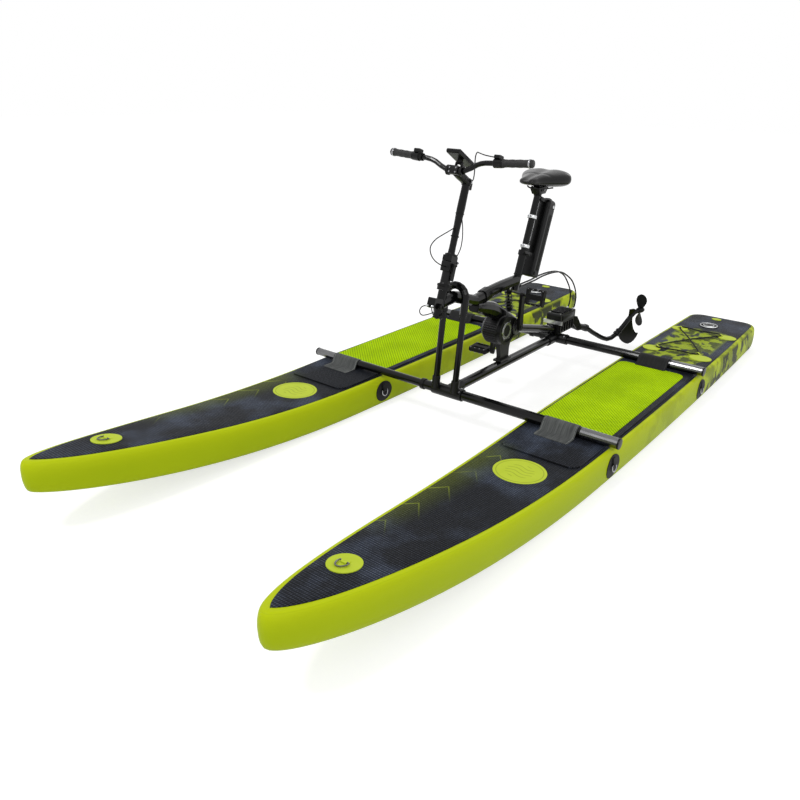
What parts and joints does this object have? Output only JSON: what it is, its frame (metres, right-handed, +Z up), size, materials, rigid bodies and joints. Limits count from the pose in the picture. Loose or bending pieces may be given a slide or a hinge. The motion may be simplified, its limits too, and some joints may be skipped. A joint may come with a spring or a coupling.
{
  "type": "water bike",
  "caption": "Pedal frame with saddle, handlebar and battery on two inflatable boards, driving a steered stern leg with a propeller.",
  "frame": {"origin": "on the floor, at the middle of the outline", "axes": "+Z up, +Y from bow to stern along the boards, +X to the port board (port as the rider faces the bow)"},
  "size_m": [1.746, 4.0785, 1.3025],
  "materials": {
    "hull": "coated, satin",
    "deck": "embossed",
    "pad": "matte foam",
    "flap": "woven",
    "cord": "braided",
    "ring": "satin",
    "frame": "gloss",
    "cast": "satin",
    "spring": "satin",
    "satin": "satin black",
    "plastic": "satin",
    "rubber": "matte",
    "silver": "satin",
    "leather": "satin"
  },
  "bodies": {
    "base": {"port_board": "hull", "starboard_board": "hull", "port_deck_skin": "deck", "starboard_deck_skin": "deck", "port_traction_pad": "pad", "starboard_traction_pad": "pad", "port_front_flap": "flap", "port_rear_flap": "flap", "starboard_front_flap": "flap", "starboard_rear_flap": "flap", "port_bungee": "cord", "starboard_bungee": "cord", "front_crossbar": "frame", "rear_crossbar": "frame", "front_crossbar_extension": "frame", "rear_crossbar_extension": "frame", "centre_beam": "frame", "front_beam_bracket": "cast", "rear_beam_bracket": "cast", "fork": "frame", "main_frame": "frame", "down_tube": "frame", "shock_spring": "spring", "shock_damper": "satin", "crank_case": "plastic", "motor_drum": "cast", "motor_support": "cast", "shaft_tube": "frame", "gearbox_case": "cast", "gearbox_plate": "silver", "seat_collar": "satin", "port_steering_cable": "rubber", "starboard_steering_cable": "rubber"},
    "crank": {"chainring_axle": "ring", "port_crank": "satin", "starboard_crank": "satin"},
    "port_pedal": {"port_pedal": "rubber"},
    "starboard_pedal": {"starboard_pedal": "rubber"},
    "steering": {"stem_base": "cast"},
    "stem_lever": {"stem_lever": "silver"},
    "column": {"stem_column": "frame", "handlebar": "frame", "port_grip": "rubber", "starboard_grip": "rubber", "bar_cable": "rubber", "column_cable": "rubber"},
    "throttle": {"throttle_lever": "rubber"},
    "display": {"display": "plastic"},
    "yoke": {"steer_yoke": "cast"},
    "leg": {"leg_tube": "frame", "skeg": "plastic"},
    "propeller": {"propeller": "plastic"},
    "seat": {"seat_post": "frame", "battery": "plastic", "battery_mount": "silver", "saddle": "leather", "saddle_clamp": "ring"},
    "seat_lever": {"seat_lever": "satin"},
    "port_nose_ring": {"port_nose_ring": "ring"},
    "starboard_nose_ring": {"starboard_nose_ring": "ring"}
  },
  "joints": [
    {"name": "crank_spin", "type": "hinge", "parent": "base", "child": "crank", "pos_m": [0, 0.235, 0.402], "axis": [1, 0, 0], "continuous": true},
    {"name": "port_pedal_spin", "type": "hinge", "parent": "crank", "child": "port_pedal", "pos_m": [0.15, 0.235, 0.572], "axis": [1, 0, 0], "continuous": true},
    {"name": "starboard_pedal_spin", "type": "hinge", "parent": "crank", "child": "starboard_pedal", "pos_m": [-0.15, 0.235, 0.232], "axis": [1, 0, 0], "continuous": true},
    {"name": "steering_turn", "type": "hinge", "parent": "base", "child": "steering", "pos_m": [0, -0.3957, 0.6], "axis": [0, 0.3007, 0.9537], "range_deg": [-35, 10]},
    {"name": "stem_lever_turn", "type": "hinge", "parent": "steering", "child": "stem_lever", "pos_m": [0.0328, -0.32894, 0.81173], "axis": [0, -0.9537, 0.3007], "range_deg": [0, 110]},
    {"name": "stem_fold", "type": "hinge", "parent": "steering", "child": "column", "pos_m": [0, -0.29484, 0.81513], "axis": [-1, 0, 0], "range_deg": [0, 70]},
    {"name": "throttle_press", "type": "hinge", "parent": "column", "child": "throttle", "pos_m": [-0.15, -0.31418, 1.25427], "axis": [0.994, -0.0969, -0.0504], "range_deg": [0, 35], "stiffness_Nm_per_rad": 0.08, "springref_deg": -17.19},
    {"name": "display_tilt", "type": "hinge", "parent": "column", "child": "display", "pos_m": [0, -0.28296, 1.24023], "axis": [1, 0, 0], "range_deg": [-8, 20]},
    {"name": "leg_swing", "type": "hinge", "parent": "base", "child": "yoke", "pos_m": [0, 1, 0.26], "axis": [0, 0, 1], "range_deg": [-10, 35]},
    {"name": "leg_tilt", "type": "hinge", "parent": "yoke", "child": "leg", "pos_m": [0.02105, 1.05081, 0.2], "axis": [0.9239, -0.3827, 0], "range_deg": [-38, 60]},
    {"name": "propeller_spin", "type": "hinge", "parent": "leg", "child": "propeller", "pos_m": [0.22731, 1.54878, 0.233], "axis": [0.3827, 0.9239, 0], "continuous": true},
    {"name": "seat_slide", "type": "slide", "parent": "base", "child": "seat", "axis": [0, 0.3289, 0.9444], "range_m": [0, 0.08]},
    {"name": "seat_lever_turn", "type": "hinge", "parent": "base", "child": "seat_lever", "pos_m": [0.0428, 0.34518, 0.75835], "axis": [0, 0.3289, 0.9444], "range_deg": [0, 140]},
    {"name": "port_nose_ring_swing", "type": "hinge", "parent": "base", "child": "port_nose_ring", "pos_m": [0.61, -1.69433, 0.25804], "axis": [-1, 0, 0], "range_deg": [0, 150]},
    {"name": "starboard_nose_ring_swing", "type": "hinge", "parent": "base", "child": "starboard_nose_ring", "pos_m": [-0.65, -1.69433, 0.25804], "axis": [-1, 0, 0], "range_deg": [0, 150]}
  ],
  "couplings": [
    {"joint": "propeller_spin", "follows": "crank_spin", "ratio": -6},
    {"joint": "leg_swing", "follows": "steering_turn", "ratio": -1}
  ]
}
